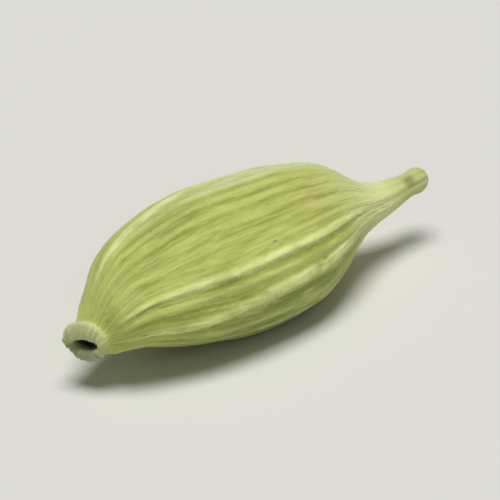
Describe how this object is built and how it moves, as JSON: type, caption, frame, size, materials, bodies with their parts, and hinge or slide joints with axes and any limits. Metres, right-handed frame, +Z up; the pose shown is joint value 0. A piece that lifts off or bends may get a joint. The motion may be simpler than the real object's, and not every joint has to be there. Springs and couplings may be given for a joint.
{
  "type": "green cardamom pod",
  "caption": "Whole dried green cardamom pod: a ribbed, three-sided spindle with a hollow stalk stub at one end and a beak at the other, lying on its side.",
  "frame": {"origin": "on the surface the pod lies on, under the middle of its bounding box", "axes": "+X along the pod from the stalk stub to the beak, +Z up, -Y towards the viewer of the seam"},
  "size_m": [0.021, 0.0076, 0.0072],
  "materials": {
    "husk": "matte, dry and fibrous"
  },
  "bodies": {
    "root": {"pod": "husk"}
  },
  "joints": []
}
